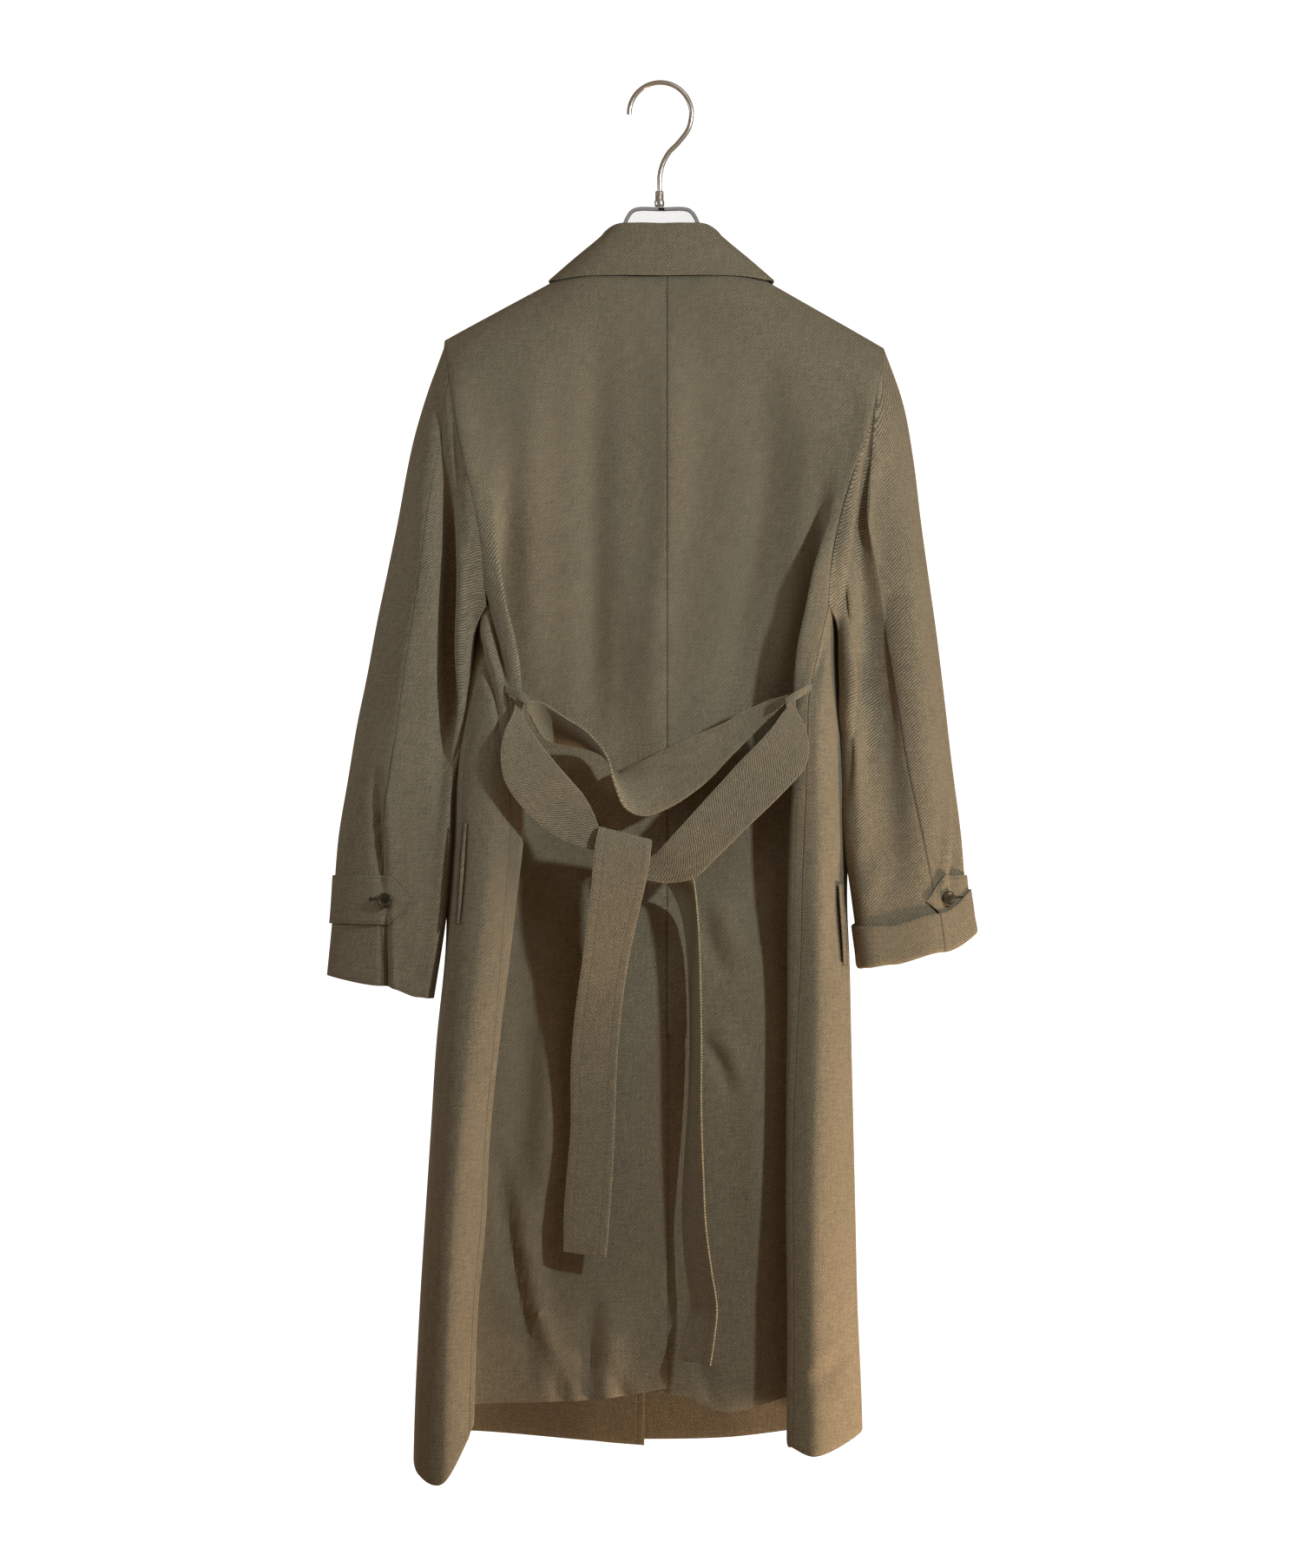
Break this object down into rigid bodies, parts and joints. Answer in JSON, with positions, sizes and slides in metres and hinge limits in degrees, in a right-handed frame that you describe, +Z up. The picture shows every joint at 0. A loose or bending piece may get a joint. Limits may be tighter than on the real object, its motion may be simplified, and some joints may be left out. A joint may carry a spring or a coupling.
{
  "type": "long belted coat on a hanger",
  "caption": "Long belted coat with a turn-down collar, back vent, buttoned cuff straps and a tied belt, hanging from a clear hanger with a metal hook.",
  "frame": {"origin": "inside top of the hanger's hook, where it hangs on a rail", "axes": "+Z up; the back of the coat faces -Y; +X is the wearer's right"},
  "size_m": [0.5924, 0.1486, 1.2704],
  "materials": {
    "twill": "matt wool twill, brown-taupe",
    "button": "polished dark horn look",
    "clear": "clear, glossy",
    "chrome": "polished"
  },
  "bodies": {
    "root": {"back_left": "twill", "back_right": "twill", "side_left": "twill", "side_right": "twill", "front_left": "twill", "front_right": "twill", "upper_sleeve_left": "twill", "upper_sleeve_right": "twill", "under_sleeve_left": "twill", "under_sleeve_right": "twill", "collar": "twill", "cuff_turnup_right": "twill", "cuff_strap_left": "twill", "cuff_strap_right": "twill", "pocket_welt_left": "twill", "pocket_welt_right": "twill", "belt_loop_left": "twill", "belt_loop_right": "twill", "belt_upper": "twill", "belt_left": "twill", "belt_right": "twill", "belt_tail_left": "twill", "belt_tail_right": "twill", "button_left": "button", "button_right": "button", "hanger_body": "clear", "hanger_ferrule": "chrome", "hanger_hook": "chrome"}
  },
  "joints": []
}
